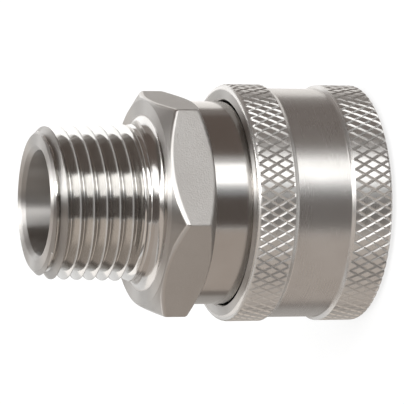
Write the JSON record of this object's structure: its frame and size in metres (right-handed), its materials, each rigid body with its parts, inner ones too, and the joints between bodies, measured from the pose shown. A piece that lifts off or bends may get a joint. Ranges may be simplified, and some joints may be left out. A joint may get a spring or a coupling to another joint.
{
  "type": "quick coupling",
  "caption": "Straight-through quick coupling socket with a male taper pipe thread, a hexagon for a wrench and a spring-loaded knurled sleeve over locking balls.",
  "frame": {"origin": "centre of the socket mouth, on the plane that the coupling stands on", "axes": "+Z along the axis from the socket mouth to the pipe thread; +X square to two flats of the hexagon"},
  "size_m": [0.0328, 0.033, 0.0462],
  "materials": {
    "body_steel": "turned and polished",
    "sleeve_steel": "turned, knurled",
    "spring_steel": "drawn wire",
    "ball_steel": "polished",
    "ring_steel": "drawn wire",
    "seal_rubber": "moulded, smooth"
  },
  "bodies": {
    "body": {"coupling_body": "body_steel", "retaining_ring": "ring_steel", "seal_ring": "seal_rubber"},
    "spring": {"sleeve_spring": "spring_steel"},
    "sleeve": {"locking_sleeve": "sleeve_steel"},
    "ball_1": {"lock_ball_1": "ball_steel"},
    "ball_2": {"lock_ball_2": "ball_steel"},
    "ball_3": {"lock_ball_3": "ball_steel"},
    "ball_4": {"lock_ball_4": "ball_steel"},
    "ball_5": {"lock_ball_5": "ball_steel"},
    "ball_6": {"lock_ball_6": "ball_steel"},
    "ball_7": {"lock_ball_7": "ball_steel"},
    "ball_8": {"lock_ball_8": "ball_steel"}
  },
  "joints": [
    {"name": "sleeve_spin", "type": "hinge", "parent": "body", "child": "spring", "pos_m": [0, 0, 0], "axis": [0, 0, 1], "continuous": true},
    {"name": "sleeve_slide", "type": "slide", "parent": "spring", "child": "sleeve", "axis": [0, 0, 1], "range_m": [0, 0.0044], "stiffness_N_per_m": 450, "springref_m": -0.012, "deforming": ["sleeve_spring"]},
    {"name": "ball_1_lift", "type": "slide", "parent": "body", "child": "ball_1", "axis": [1, 0, 0], "range_m": [0, 0.0013]},
    {"name": "ball_2_lift", "type": "slide", "parent": "body", "child": "ball_2", "axis": [0.7071, 0.7071, 0], "range_m": [0, 0.0013]},
    {"name": "ball_3_lift", "type": "slide", "parent": "body", "child": "ball_3", "axis": [0, 1, 0], "range_m": [0, 0.0013]},
    {"name": "ball_4_lift", "type": "slide", "parent": "body", "child": "ball_4", "axis": [-0.7071, 0.7071, 0], "range_m": [0, 0.0013]},
    {"name": "ball_5_lift", "type": "slide", "parent": "body", "child": "ball_5", "axis": [-1, 0, 0], "range_m": [0, 0.0013]},
    {"name": "ball_6_lift", "type": "slide", "parent": "body", "child": "ball_6", "axis": [-0.7071, -0.7071, 0], "range_m": [0, 0.0013]},
    {"name": "ball_7_lift", "type": "slide", "parent": "body", "child": "ball_7", "axis": [0, -1, 0], "range_m": [0, 0.0013]},
    {"name": "ball_8_lift", "type": "slide", "parent": "body", "child": "ball_8", "axis": [0.7071, -0.7071, 0], "range_m": [0, 0.0013]}
  ],
  "couplings": [
    {"joint": "ball_1_lift", "follows": "sleeve_slide", "ratio": 0.29545},
    {"joint": "ball_2_lift", "follows": "sleeve_slide", "ratio": 0.29545},
    {"joint": "ball_3_lift", "follows": "sleeve_slide", "ratio": 0.29545},
    {"joint": "ball_4_lift", "follows": "sleeve_slide", "ratio": 0.29545},
    {"joint": "ball_5_lift", "follows": "sleeve_slide", "ratio": 0.29545},
    {"joint": "ball_6_lift", "follows": "sleeve_slide", "ratio": 0.29545},
    {"joint": "ball_7_lift", "follows": "sleeve_slide", "ratio": 0.29545},
    {"joint": "ball_8_lift", "follows": "sleeve_slide", "ratio": 0.29545}
  ]
}
